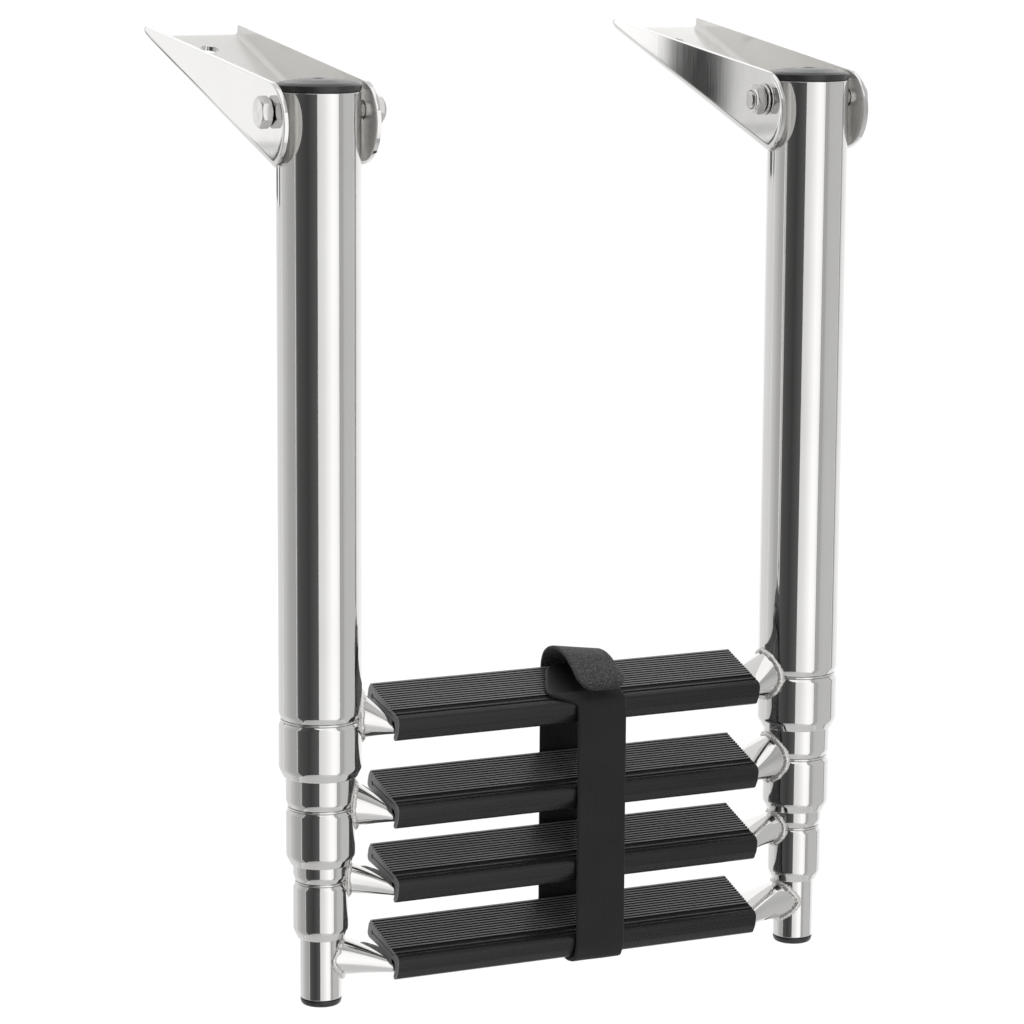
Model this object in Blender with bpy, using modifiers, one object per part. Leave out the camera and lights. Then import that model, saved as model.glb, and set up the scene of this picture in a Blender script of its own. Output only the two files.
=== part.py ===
"""Telescoping boat boarding ladder, four steps, closed.

World frame: X runs along the steps, +Y is the boat side, +Z is up, metres.
The origin lies midway between the two deck brackets, on the plane of their
mounting faces. The legs hang straight down; the brackets and the steps are
tilted by KICK, so they come level when the ladder leans out by that angle.
"""

import math

import bmesh
import bpy
from mathutils import Matrix, Vector

MM = 0.001
GAP = 0.3 * MM                      # kept between pieces that touch

# Driving dimensions
KICK = math.radians(18)             # tilt of the brackets and steps
LEG_SPACING = 250 * MM              # between the two leg axes
TUBE_RADII = [19.05 * MM, 15.875 * MM, 12.7 * MM, 9.525 * MM]
TUBE_WALL = 1.5 * MM
HINGE_TO_STEP_1 = 275.9 * MM        # down the leg, hinge axis to first joint
NECKS = [14.6 * MM, 8.4 * MM, 10.1 * MM]    # bare tube below each collar
COLLAR_REACH = 26.6 * MM            # joint line to the lower lip of a collar
JOINT_GROOVE = 1.3 * MM             # groove between a tube and its collar
TUBE_TOP = 8.75 * MM                # outer tube above the hinge axis
FOOT_REACH = 18.3 * MM              # last step axis to the end of the tube

# How far each inner stage slides, and the glides that stop it
STROKES = [240 * MM, 245 * MM, 245 * MM]
GLIDE_LENGTH = 20 * MM
GUIDE_LENGTH = 22 * MM
STOP_CLEARANCE = 1 * MM

# Deck bracket: u runs along its base away from the legs, v up from its face
SHEET = 2.5 * MM
BEND_RADIUS = 5 * MM                # outside
EAR_HALF = 23.6 * MM                # half the width over both ears, at the hinge
TIP_SPREAD = 1.5 * MM               # each ear leans out by this much at its tip
EAR_RADIUS = 18.5 * MM
BRACKET_REACH = 156 * MM            # hinge axis to the ear tips
LEG_CLEARANCE = 0.35 * MM           # base front edge to the hanging leg, its stop
BASE_END = 153 * MM
TIP_HEIGHT = 6.3 * MM
PIVOT_HEIGHT = 24 * MM
SCREW_PLACES = [60 * MM, 133 * MM]
SCREW_HOLE = 4.5 * MM               # radius
DATUM = sum(SCREW_PLACES) / 2       # the origin lies here along the base

# Hinge bolt, M8
BOLT_RADIUS = 4 * MM
HEX_RADIUS = 7.3 * MM               # across corners
HEAD_THICK = 5.3 * MM
NUT_THICK = 5.4 * MM
WASHER_THICK = 1.2 * MM
WASHER_RADIUS = 7.4 * MM
BOLT_TIP = 0.8 * MM

# Steps
COVER_LENGTH = 188.4 * MM
CORE_HALF_WIDTH = 12.8 * MM
CORE_HALF_THICK = 3.7 * MM
CORE_DROP = 4.3 * MM                # flat middle below the joint line
CORE_TILT = math.radians(6)
CORE_ROUND = 11 * MM                # radius where it meets a leg
CORE_WALL = 1.2 * MM
CORE_FLAT_TO = 94.6 * MM            # flat up to here either side of the middle
CORE_ROUND_FROM = 104 * MM

# Strap
STRAP_WIDTH = 25 * MM
STRAP_THICK = 1.6 * MM
STRAP_X = 9 * MM
FRONT_RUN = -20.1 * MM              # strap in front of and behind the steps
BACK_RUN = 20.2 * MM

SEGMENTS = 20
SIDES = [("left", -1), ("right", 1)]

# Heights on the leg, below the hinge axis, one joint for each step
JOINTS = [-HINGE_TO_STEP_1]
for neck in NECKS:
    JOINTS.append(JOINTS[-1] - COLLAR_REACH - neck)

# The hinge axis in the world, reached from the datum along the tilted base
HINGE = Vector((0,
                -DATUM * math.cos(KICK) - PIVOT_HEIGHT * math.sin(KICK),
                -DATUM * math.sin(KICK) + PIVOT_HEIGHT * math.cos(KICK)))

COLOURS = {
    "steel": ((0.78, 0.78, 0.79, 1), 1.0, 0.12),
    "black": ((0.02, 0.02, 0.02, 1), 0.0, 0.5),
    "cover": ((0.035, 0.035, 0.037, 1), 0.0, 0.45),
    "nylon": ((0.75, 0.74, 0.70, 1), 0.0, 0.4),
    "webbing": ((0.02, 0.02, 0.022, 1), 0.0, 0.9),
}


def remove_startup_objects():
    for thing in list(bpy.data.objects):
        bpy.data.objects.remove(thing, do_unlink=True)


def new_collection(name):
    group = bpy.data.collections.new(name)
    bpy.context.scene.collection.children.link(group)
    return group


def material(kind):
    found = bpy.data.materials.get(kind)
    if found:
        return found
    colour, metallic, roughness = COLOURS[kind]
    made = bpy.data.materials.new(kind)
    made.use_nodes = True
    shader = made.node_tree.nodes["Principled BSDF"]
    shader.inputs["Base Color"].default_value = colour
    shader.inputs["Metallic"].default_value = metallic
    shader.inputs["Roughness"].default_value = roughness
    return made


def empty(name, place, parent=None, tilt=0.0):
    """A guide that carries pieces; place is given in its parent's frame."""
    guide = bpy.data.objects.new(name, None)
    guide.location = place
    guide.rotation_euler = (tilt, 0, 0)
    guide.parent = parent
    guide.hide_render = True
    PARTS.objects.link(guide)
    return guide


def add_piece(name, mesh, kind, parent, place=(0, 0, 0), tilt=0.0, smooth=True):
    """One named sub-part, hung under its parent empty."""
    piece = bpy.data.objects.new(name, mesh)
    piece.parent = parent
    piece.location = place
    piece.rotation_euler = (tilt, 0, 0)
    mesh.materials.clear()
    mesh.materials.append(material(kind))
    if smooth:
        mesh.shade_smooth()
        mesh.set_sharp_from_angle(angle=math.radians(35))
    PARTS.objects.link(piece)
    return piece


def mesh_of(guide):
    """The evaluated mesh of a helper object, welded; the helper goes away."""
    bpy.context.view_layer.update()
    graph = bpy.context.evaluated_depsgraph_get()
    mesh = bpy.data.meshes.new_from_object(guide.evaluated_get(graph))
    mesh.transform(guide.matrix_world)
    shape = bmesh.new()
    shape.from_mesh(mesh)
    bmesh.ops.remove_doubles(shape, verts=shape.verts, dist=1e-6)
    bmesh.ops.recalc_face_normals(shape, faces=shape.faces)
    shape.to_mesh(mesh)
    shape.free()
    bpy.data.objects.remove(guide, do_unlink=True)
    return mesh


def turned(profile, segments=SEGMENTS):
    """A closed (radius, height) outline turned about Z.

    The outline runs down its outer side and back up its inner side.
    """
    shape = bmesh.new()
    points = [shape.verts.new((r, 0, z)) for r, z in profile]
    for start, end in zip(points, points[1:] + points[:1]):
        shape.edges.new((start, end))
    mesh = bpy.data.meshes.new("turned")
    shape.to_mesh(mesh)
    shape.free()
    helper = bpy.data.objects.new("turned", mesh)
    CUTTERS.objects.link(helper)
    screw = helper.modifiers.new("turn", "SCREW")
    screw.steps = screw.render_steps = segments
    screw.use_merge_vertices = True
    screw.merge_threshold = 1e-6
    return mesh_of(helper)


def plate(outline, thickness):
    """A flat outline in XY, filled and thickened evenly about Z = 0."""
    curve = bpy.data.curves.new("plate", "CURVE")
    curve.dimensions = "2D"
    curve.fill_mode = "BOTH"
    curve.extrude = thickness / 2
    spline = curve.splines.new("POLY")
    spline.points.add(len(outline) - 1)
    for point, (x, y) in zip(spline.points, outline):
        point.co = (x, y, 0, 1)
    spline.use_cyclic_u = True
    helper = bpy.data.objects.new("plate", curve)
    CUTTERS.objects.link(helper)
    return mesh_of(helper)


def extruded_along_x(outline, length):
    """An outline in (y, z), extruded evenly either side of X = 0."""
    mesh = plate(outline, length)
    # plate's X, Y and Z become the part's Y, Z and X
    mesh.transform(Matrix(((0, 0, 1, 0), (1, 0, 0, 0), (0, 1, 0, 0), (0, 0, 0, 1))))
    return mesh


def arc(centre, radius, start, end, steps):
    """Points on a circle, angles in degrees."""
    return [(centre[0] + radius * math.cos(math.radians(start + (end - start) * i / steps)),
             centre[1] + radius * math.sin(math.radians(start + (end - start) * i / steps)))
            for i in range(steps + 1)]


def cylinder(radius, length, axis, centre, segments=SEGMENTS):
    shape = bmesh.new()
    bmesh.ops.create_cone(shape, cap_ends=True, segments=segments,
                          radius1=radius, radius2=radius, depth=length)
    mesh = bpy.data.meshes.new("cylinder")
    shape.to_mesh(mesh)
    shape.free()
    turn = Vector((0, 0, 1)).rotation_difference(Vector(axis)).to_matrix().to_4x4()
    mesh.transform(Matrix.Translation(centre) @ turn)
    return mesh


def box(low, high):
    shape = bmesh.new()
    bmesh.ops.create_cube(shape, size=1)
    mesh = bpy.data.meshes.new("box")
    shape.to_mesh(mesh)
    shape.free()
    low, high = Vector(low), Vector(high)
    size = Matrix.Diagonal((*(high - low), 1))
    mesh.transform(Matrix.Translation((low + high) / 2) @ size)
    return mesh


def combine(piece, mesh, operation):
    """Give a piece an EXACT Boolean with a cutter in the piece's own frame."""
    cutter = bpy.data.objects.new(piece.name + "_cutter", mesh)
    cutter.parent = piece
    cutter.display_type = "WIRE"
    cutter.hide_render = True
    CUTTERS.objects.link(cutter)
    boolean = piece.modifiers.new(operation.lower(), "BOOLEAN")
    boolean.operation = operation
    boolean.solver = "EXACT"
    boolean.object = cutter


# Deck brackets ---------------------------------------------------------

def channel_section():
    """Section of the formed channel across its width, in (x, v)."""
    outer, top = BEND_RADIUS, 40 * MM
    inner = outer - SHEET
    half, hollow = EAR_HALF, EAR_HALF - SHEET
    outline = arc((-half + outer, outer), outer, 180, 270, 4)
    outline += arc((half - outer, outer), outer, 270, 360, 4)
    outline += [(half, top), (hollow, top)]
    outline += arc((hollow - inner, SHEET + inner), inner, 360, 270, 3)
    outline += arc((-hollow + inner, SHEET + inner), inner, 270, 180, 3)
    outline += [(-hollow, top), (-half, top)]
    return outline


def ear_outline():
    """Side view of the bracket in (u, v): round end, sloping top, low tip."""
    slope = math.degrees(math.atan2(2 * EAR_RADIUS - TIP_HEIGHT, BRACKET_REACH))
    outline = arc((0, EAR_RADIUS), EAR_RADIUS, 270, 90 - slope, 14)
    outline += arc((BRACKET_REACH - 2 * MM, TIP_HEIGHT - 2 * MM), 2 * MM, 80, 0, 3)
    outline += [(BRACKET_REACH, -1 * MM), (0, -1 * MM)]
    return outline


def leg_space():
    """The hanging leg with its clearance, which the base is coped to."""
    length = 60 * MM
    down = Vector((0, -math.sin(KICK), -math.cos(KICK)))
    middle = Vector((0, 0, PIVOT_HEIGHT)) + down * length / 2
    return cylinder(TUBE_RADII[0] + LEG_CLEARANCE, length, down, middle, 2 * SEGMENTS)


def bracket(side, sign, deck):
    spare = 20 * MM
    section = plate(channel_section(), BRACKET_REACH + 2 * spare)
    # the section's X stays X, its Y becomes v and its extrusion runs along u
    section.transform(Matrix(((-1, 0, 0, 0), (0, 0, 1, BRACKET_REACH / 2),
                              (0, 1, 0, 0), (0, 0, 0, 1))))
    for point in section.vertices:
        point.co.x *= 1 + TIP_SPREAD / EAR_HALF * point.co.y / BRACKET_REACH
    piece = add_piece(f"bracket_{side}", section, "steel", deck,
                      (sign * LEG_SPACING / 2, -DATUM, 0))
    combine(piece, extruded_along_x(ear_outline(), 60 * MM), "INTERSECT")
    inside = EAR_HALF + TIP_SPREAD - BEND_RADIUS
    combine(piece, box((-inside, BASE_END, -5 * MM), (inside, BRACKET_REACH + 5 * MM, 5 * MM)),
            "DIFFERENCE")
    combine(piece, leg_space(), "DIFFERENCE")
    combine(piece, cylinder(BOLT_RADIUS + GAP, 80 * MM, (1, 0, 0), (0, 0, PIVOT_HEIGHT)),
            "DIFFERENCE")
    for place in SCREW_PLACES:
        combine(piece, cylinder(SCREW_HOLE, 20 * MM, (0, 0, 1), (0, place, 0)), "DIFFERENCE")
    return piece


def hinge_bolt(side, sign, deck):
    """Hex bolt with its head outboard, nut and washer inboard."""
    pivot = (sign * LEG_SPACING / 2, -DATUM, PIVOT_HEIGHT)
    head_start = EAR_HALF + GAP
    nut_start = head_start + WASHER_THICK + GAP
    shank_end = nut_start + NUT_THICK + BOLT_TIP
    head = cylinder(HEX_RADIUS, HEAD_THICK, (sign, 0, 0),
                    (sign * (head_start + HEAD_THICK / 2), 0, 0), 6)
    bolt = add_piece(f"bolt_{side}", head, "steel", deck, pivot)
    length = head_start + 1 * MM + shank_end
    middle = sign * (head_start + 1 * MM - shank_end) / 2
    combine(bolt, cylinder(BOLT_RADIUS, length, (1, 0, 0), (middle, 0, 0), 20), "UNION")
    washer = cylinder(WASHER_RADIUS, WASHER_THICK, (1, 0, 0),
                      (-sign * (head_start + WASHER_THICK / 2), 0, 0), 24)
    nut = cylinder(HEX_RADIUS, NUT_THICK, (1, 0, 0),
                   (-sign * (nut_start + NUT_THICK / 2), 0, 0), 6)
    for name, mesh in (("washer", washer), ("nut", nut)):
        ring = add_piece(f"{name}_{side}", mesh, "steel", deck, pivot)
        combine(ring, cylinder(BOLT_RADIUS + GAP, 120 * MM, (1, 0, 0), (0, 0, 0), 20),
                "DIFFERENCE")


# Legs ------------------------------------------------------------------

def tube_profile(radius, top, bottom):
    """A tube wall with its lower end drawn in to a rounded edge."""
    inner = radius - TUBE_WALL
    swage = 2.2 * MM
    outer_end = arc((radius - swage, bottom + swage), swage, 0, -50, 2)
    return [(radius, top)] + outer_end + [(inner, bottom), (inner, top)]


def leg_tube(stage, side, sign, carrier):
    radius = TUBE_RADII[stage]
    top = TUBE_TOP if stage == 0 else glide_bottom(stage) + GLIDE_LENGTH
    if stage == 3:
        bottom = JOINTS[3] - FOOT_REACH
    else:
        bottom = JOINTS[stage] + JOINT_GROOVE / 2
    mesh = turned(tube_profile(radius, top, bottom))
    tube = add_piece(f"tube_{stage + 1}_{side}", mesh, "steel", carrier,
                     (sign * LEG_SPACING / 2, 0, 0))
    if stage == 0:
        combine(tube, cylinder(BOLT_RADIUS + GAP, 60 * MM, (1, 0, 0), (0, 0, 0)), "DIFFERENCE")


def glide_bottom(stage):
    """Lower end of the glide that meets the guide above when fully out."""
    return JOINTS[stage - 1] + STROKES[stage - 1] + STOP_CLEARANCE


def collar(stage, side, sign, carrier):
    """End collar of a tube: rounded shoulder, rounded lip, bore for the guide."""
    radius = TUBE_RADII[stage]
    bore = radius - TUBE_WALL
    lip_bore = TUBE_RADII[stage + 1] + 0.5 * MM
    top = JOINTS[stage] - JOINT_GROOVE / 2
    bottom = JOINTS[stage] - COLLAR_REACH
    shoulder, lip = 2.5 * MM, 3 * MM
    profile = [(bore, top)]
    profile += arc((radius - shoulder, top - shoulder), shoulder, 65, 0, 2)
    profile += arc((radius - lip, bottom + lip), lip, 0, -75, 3)
    profile += [(lip_bore, bottom), (lip_bore, bottom + 1.2 * MM), (bore, bottom + 1.2 * MM)]
    add_piece(f"collar_{stage + 1}_{side}", turned(profile), "steel", carrier,
              (sign * LEG_SPACING / 2, 0, 0))


def guide(stage, side, sign, carrier):
    """Plastic bush inside a collar, on which the next tube slides."""
    outer = TUBE_RADII[stage] - TUBE_WALL - GAP
    inner = TUBE_RADII[stage + 1] + GAP
    bottom = JOINTS[stage] - COLLAR_REACH + 1.2 * MM + GAP
    top = bottom + GUIDE_LENGTH
    profile = [(outer, top), (outer, bottom), (inner, bottom), (inner, top)]
    add_piece(f"guide_{stage + 1}_{side}", turned(profile), "nylon", carrier,
              (sign * LEG_SPACING / 2, 0, 0))


def glide(stage, side, sign, carrier):
    """Plastic sleeve on the top of an inner tube, lipped over its end."""
    outer = TUBE_RADII[stage - 1] - TUBE_WALL - GAP
    inner = TUBE_RADII[stage] + GAP
    hole = TUBE_RADII[stage] - TUBE_WALL
    bottom = glide_bottom(stage)
    under_lip = bottom + GLIDE_LENGTH + GAP
    top = under_lip + 1.5 * MM
    profile = [(outer, top), (outer, bottom), (inner, bottom),
               (inner, under_lip), (hole, under_lip), (hole, top)]
    add_piece(f"glide_{stage + 1}_{side}", turned(profile), "nylon", carrier,
              (sign * LEG_SPACING / 2, 0, 0))


def top_cap(side, sign, carrier):
    """Black plug: bevelled flange with a shallow dome, and a short hollow skirt."""
    flange = TUBE_RADII[0] + 0.45 * MM
    skirt = TUBE_RADII[0] - TUBE_WALL - GAP
    under, over = TUBE_TOP + GAP, TUBE_TOP + 5 * MM
    profile = [(0, over + 0.75 * MM), (10 * MM, over + 0.55 * MM), (17 * MM, over + 0.15 * MM),
               (flange, over - 0.6 * MM), (TUBE_RADII[0], under), (skirt, under),
               (skirt, TUBE_TOP - 3.5 * MM), (skirt - 2 * MM, TUBE_TOP - 3.5 * MM),
               (skirt - 2 * MM, under), (0, under)]
    add_piece(f"top_cap_{side}", turned(profile), "black", carrier,
              (sign * LEG_SPACING / 2, 0, 0))


def foot_cap(side, sign, carrier):
    """Black plug in the lower end of the last tube, with a rounded foot."""
    radius = TUBE_RADII[3]
    skirt = radius - TUBE_WALL - GAP
    under = JOINTS[3] - FOOT_REACH - GAP
    depth = 3 * MM
    rounding = 1.8 * MM
    profile = [(0, under + 12 * MM), (skirt, under + 12 * MM), (skirt, under), (radius, under)]
    profile += arc((radius - rounding, under - depth + rounding), rounding, 0, -90, 3)
    profile += [(0, under - depth)]
    add_piece(f"foot_cap_{side}", turned(profile), "black", carrier,
              (sign * LEG_SPACING / 2, 0, 0))


# Steps -----------------------------------------------------------------

def cover_outline():
    """End view of a step cover in (u, v), tilted with the step.

    Flat top, thick rounded back edge, underside sloping to the front, and a
    round nose that hangs down and curls in.
    """
    nose = arc((-13.5 * MM, 0.9 * MM), 5.4 * MM, 90, 190, 8)
    nose += [(-18 * MM, -3.6 * MM)]
    nose += arc((-16.4 * MM, -4.4 * MM), 1.6 * MM, 180, 340, 5)
    inside = [(-15.4 * MM, -3 * MM), (-15.1 * MM, 0.2 * MM), (-13.6 * MM, 2.2 * MM)]
    back = [(15.2 * MM, -3 * MM)]
    back += arc((15.6 * MM, -1 * MM), 2 * MM, -80, 0, 3)
    back += arc((14.9 * MM, 3.6 * MM), 2.7 * MM, 0, 90, 4)
    return nose + inside + back


def tread_cover(stage, carrier):
    mesh = extruded_along_x(cover_outline(), COVER_LENGTH)
    add_piece(f"tread_cover_{stage + 1}", mesh, "cover", carrier,
              (0, 0, JOINTS[stage]), KICK, smooth=False)


def core_section(mix, round_radius, count):
    """Points round the tube: mix 0 is its flat middle, mix 1 its round end."""
    straight = CORE_HALF_WIDTH - CORE_HALF_THICK
    points = []
    for i in range(count):
        angle = math.tau * i / count
        y, z = math.cos(angle), math.sin(angle)
        flat = Vector((CORE_HALF_THICK * y + math.copysign(straight, y) * min(1, abs(y) * 3),
                       CORE_HALF_THICK * z))
        tilted = Matrix.Rotation(CORE_TILT, 2) @ flat - Vector((0.5 * MM, CORE_DROP))
        points.append(tilted.lerp(Vector((round_radius * y, round_radius * z)), mix))
    return points


def tread_core(stage, carrier):
    """Flattened tube under a step, opening to round ends coped to the legs."""
    count = 16
    leg = TUBE_RADII[stage] + 2 * GAP
    neck = NECKS[stage - 1] if stage else CORE_ROUND * 2
    round_radius = min(CORE_ROUND, TUBE_RADII[stage] - 0.4 * MM, neck - 0.8 * MM)
    end = LEG_SPACING / 2
    stations = [(-1, 1.0), (-1, 0.5), (-1, 0.0), (1, 0.0), (1, 0.5), (1, 1.0)]
    shape = bmesh.new()
    rings = [coped_ring(shape, -1, leg, end, core_section(1.0, round_radius, count))]
    for sign, mix in stations:
        x = sign * (CORE_FLAT_TO + (CORE_ROUND_FROM - CORE_FLAT_TO) * mix)
        points = core_section(mix, round_radius, count)
        rings.append([shape.verts.new((x, y, z)) for y, z in points])
    rings.append(coped_ring(shape, 1, leg, end, core_section(1.0, round_radius, count)))
    for ring, following in zip(rings, rings[1:]):
        for i in range(count):
            j = (i + 1) % count
            shape.faces.new((ring[i], following[i], following[j], ring[j]))
    bmesh.ops.recalc_face_normals(shape, faces=shape.faces)
    mesh = bpy.data.meshes.new("core")
    shape.to_mesh(mesh)
    shape.free()
    core = add_piece(f"tread_core_{stage + 1}", mesh, "steel", carrier, (0, 0, JOINTS[stage]))
    wall = core.modifiers.new("wall", "SOLIDIFY")
    wall.thickness = CORE_WALL
    wall.offset = 1 if mesh_points_inwards(mesh) else -1


def coped_ring(shape, sign, leg, end, points):
    """The end ring of a core, cut back so its inner wall clears the leg too."""
    ring = []
    for y, z in points:
        inner = max(abs(y) - CORE_WALL, 0)
        ring.append(shape.verts.new((sign * (end - math.sqrt(leg * leg - inner * inner)), y, z)))
    return ring


def mesh_points_inwards(mesh):
    """True if an open sleeve along X has its normals facing its axis."""
    face = mesh.polygons[len(mesh.polygons) // 2]
    middle = sum((p.center for p in mesh.polygons), Vector()) / len(mesh.polygons)
    outward = face.center - middle
    return face.normal.y * outward.y + face.normal.z * outward.z < 0


# Strap -----------------------------------------------------------------

def strap_path():
    """Centre line of the strap in (y, z) about the first joint.

    It starts at the back of the first step, lies forward over it, runs down
    the fronts, turns under the last step, climbs the backs, arches over the
    first step and ends as a tab on the front run.
    """
    lift = GAP + STRAP_THICK / 2
    last = JOINTS[3] - JOINTS[0]

    def on_step(u, v, drop=0.0):
        return (u * math.cos(KICK) - v * math.sin(KICK),
                u * math.sin(KICK) + v * math.cos(KICK) + drop)

    top = 6.3 * MM + lift
    path = [on_step(13 * MM, top), on_step(-12 * MM, top), on_step(-18.4 * MM, 5.4 * MM + lift)]
    path += [(FRONT_RUN, -2 * MM), (FRONT_RUN, last - 5 * MM), (-17.4 * MM, last - 11.8 * MM)]
    path += [on_step(-14 * MM, -9.2 * MM, last), on_step(7 * MM, -11.2 * MM, last)]
    path += [on_step(12 * MM, -9.4 * MM, last), on_step(17.6 * MM, -4.4 * MM, last)]
    path += [(BACK_RUN, last + 6 * MM), (BACK_RUN, 8 * MM)]
    path += [(19.4 * MM, 12 * MM), (17 * MM, 15.4 * MM), (12.5 * MM, 18.2 * MM),
             (7 * MM, 19.7 * MM), (1 * MM, 19.6 * MM), (-5 * MM, 18 * MM),
             (-13 * MM, 13.6 * MM), (-20.8 * MM, 8.6 * MM), (-22.8 * MM, 4.6 * MM)]
    return path


def strap(carrier):
    points = [Vector((0, y, z)) for y, z in strap_path()]
    shape = bmesh.new()
    rows = []
    for i, point in enumerate(points):
        before = points[max(i - 1, 0)]
        after = points[min(i + 1, len(points) - 1)]
        along = (after - before).normalized()
        across = Vector((0, -along.z, along.y)) * STRAP_THICK / 2
        rows.append([shape.verts.new(point + across * face + Vector((edge, 0, 0)))
                     for face, edge in ((1, -STRAP_WIDTH / 2), (1, STRAP_WIDTH / 2),
                                        (-1, STRAP_WIDTH / 2), (-1, -STRAP_WIDTH / 2))])
    for row, following in zip(rows, rows[1:]):
        for i in range(4):
            j = (i + 1) % 4
            shape.faces.new((row[i], row[j], following[j], following[i]))
    shape.faces.new(rows[0][::-1])
    shape.faces.new(rows[-1])
    bmesh.ops.recalc_face_normals(shape, faces=shape.faces)
    mesh = bpy.data.meshes.new("strap")
    shape.to_mesh(mesh)
    shape.free()
    add_piece("strap", mesh, "webbing", carrier, (STRAP_X, 0, JOINTS[0]))


# Assembly --------------------------------------------------------------

def build():
    deck = empty("deck_frame", (0, 0, 0), tilt=KICK)
    carriers = [empty("hinge_axis", HINGE)]
    for stage in range(1, 4):
        carriers.append(empty(f"slide_{stage + 1}", (0, 0, 0), carriers[-1]))
    for side, sign in SIDES:
        bracket(side, sign, deck)
        hinge_bolt(side, sign, deck)
        top_cap(side, sign, carriers[0])
        foot_cap(side, sign, carriers[3])
        for stage, carrier in enumerate(carriers):
            leg_tube(stage, side, sign, carrier)
            if stage < 3:
                collar(stage, side, sign, carrier)
                guide(stage, side, sign, carrier)
            if stage > 0:
                glide(stage, side, sign, carrier)
    for stage, carrier in enumerate(carriers):
        tread_core(stage, carrier)
        tread_cover(stage, carrier)
    strap(carriers[0])


remove_startup_objects()
PARTS = new_collection("boarding_ladder")
CUTTERS = new_collection("cutters")
build()
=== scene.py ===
"""The looks of the telescoping boarding ladder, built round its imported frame.

Every place comes from the frame's own boxes. Lengths are in metres, +Z is up,
+Y is the boat side, and the steps run along X.
"""

from math import acos, atan2, cos, dist, exp, pi, radians, sin, sqrt, tan, tanh, tau

import bmesh
import bpy
from mathutils import Matrix, Vector, noise


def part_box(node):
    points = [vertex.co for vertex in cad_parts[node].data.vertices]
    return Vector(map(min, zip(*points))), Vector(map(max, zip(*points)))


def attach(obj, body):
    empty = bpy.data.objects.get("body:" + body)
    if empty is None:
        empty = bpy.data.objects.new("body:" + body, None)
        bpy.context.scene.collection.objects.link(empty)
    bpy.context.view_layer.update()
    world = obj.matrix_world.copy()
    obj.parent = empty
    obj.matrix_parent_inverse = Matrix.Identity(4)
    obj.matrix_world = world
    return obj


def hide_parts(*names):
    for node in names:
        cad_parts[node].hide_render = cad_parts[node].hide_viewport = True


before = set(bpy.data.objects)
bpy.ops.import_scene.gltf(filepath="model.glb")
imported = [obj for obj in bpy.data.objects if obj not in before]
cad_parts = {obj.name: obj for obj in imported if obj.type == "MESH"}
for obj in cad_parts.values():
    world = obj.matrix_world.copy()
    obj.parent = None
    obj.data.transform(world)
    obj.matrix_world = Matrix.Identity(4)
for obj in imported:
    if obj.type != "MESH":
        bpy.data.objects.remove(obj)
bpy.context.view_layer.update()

MM = 0.001
SIDES = (("left", -1), ("right", 1))
STAGES = (1, 2, 3, 4)

# The part's own driving sizes, as its design gives them
KICK = radians(18)
TUBE_WALL = 1.5 * MM
JOINT_GROOVE = 1.3 * MM
SHEET = 2.5 * MM
BEND_RADIUS = 5 * MM
EAR_RADIUS = 18.5 * MM
TIP_HEIGHT = 6.3 * MM
EAR_HALF = 23.6 * MM
TIP_SPREAD = 1.5 * MM
PIVOT_HEIGHT = 24 * MM
BRACKET_REACH = 156 * MM
BASE_END = 153 * MM
LEG_CLEARANCE = 0.35 * MM
SCREW_PLACES = (60 * MM, 133 * MM)
SCREW_HOLE = 4.5 * MM  # radius
BOLT_HOLE = 4.3 * MM  # radius
DATUM = sum(SCREW_PLACES) / 2
HEX_FLAT = 6.32 * MM  # half across the flats
CORE_HALF_WIDTH = 12.8 * MM
CORE_HALF_THICK = 3.7 * MM
CORE_DROP = 4.3 * MM
CORE_TILT = radians(6)
CORE_WALL = 1.2 * MM
CORE_FLAT_TO = 94.6 * MM
CORE_SWELLS_FROM = CORE_FLAT_TO - 1.5 * MM
TREAD_TOP = 6.3 * MM
RIBS = 12
RIB_PITCH = 1.96 * MM
RIB_DEPTH = 0.8 * MM
FIRST_RIB = -8.9 * MM
STRAP_WIDTH = 25 * MM
STRAP_THICK = 1.6 * MM
STRAP_CORNER = 7.5 * MM  # radius of the corners at both ends
FRONT_RUN = -20.1 * MM
BACK_RUN = 20.2 * MM
INNER_END = 24 * MM  # length of strap that lies on the first step
INNER_SPREAD = (4 * MM, 12 * MM)  # how much wider it is outboard, at its tip and at the nose
INNER_CURL = 0.8 * MM  # and its outboard edge curls up this much
ARCH_LENGTH = 60 * MM  # length of strap in the arch over the first step
ARCH_LEAN = 1.8 * MM  # outboard edge of the arch above its middle
ARCH = ((19.4, 12), (17, 15.4), (12.5, 18.2), (7, 19.7), (1, 19.6), (-5, 18),
        (-13, 13.6), (-20.8, 8.6), (-22.6, 5.8))    # (y, z) in mm from the first joint

# Camera, round a point on the ladder's middle
LENS = 134.7
AZIMUTH = radians(-25.745)
ELEVATION = radians(9.822)
ROLL = radians(0.337)
DISTANCE = 1772.5 * MM
AIM = Vector((-28.6 * MM, 0, 88.6 * MM))  # from the middle of the first joint

# Studio round the ladder
FLOOR_Z = -1.3
FLOOR_HALF = 60
PANEL_LOW = FLOOR_Z + 0.02
PANEL_HIGH = 1.6
PANEL_STEP = 3  # degrees
PANEL_NEAREST = 0.5  # as a share of the lens's distance
CARD_SIZE = (0.17, 0.14)
CARD_AWAY = 0.6


# --- Places read from the frame ---

BOXES = {node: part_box(node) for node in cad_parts}


def middle(node):
    low, high = BOXES[node]
    return (low + high) / 2


def leg_axis(side):
    centre = middle(f"tube_1_{side}")
    return Vector((centre.x, centre.y))


def kicked(u, v):
    """(y, z) of a place given along and up from a face with the deck's slope."""
    return u * cos(KICK) - v * sin(KICK), u * sin(KICK) + v * cos(KICK)


def joint_height(stage):
    """Where a step's core meets its legs: in the groove above the collar, if there is one."""
    if stage == STAGES[-1]:
        return middle(f"tread_core_{stage}").z
    return BOXES[f"collar_{stage}_left"][1].z + JOINT_GROOVE / 2


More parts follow.
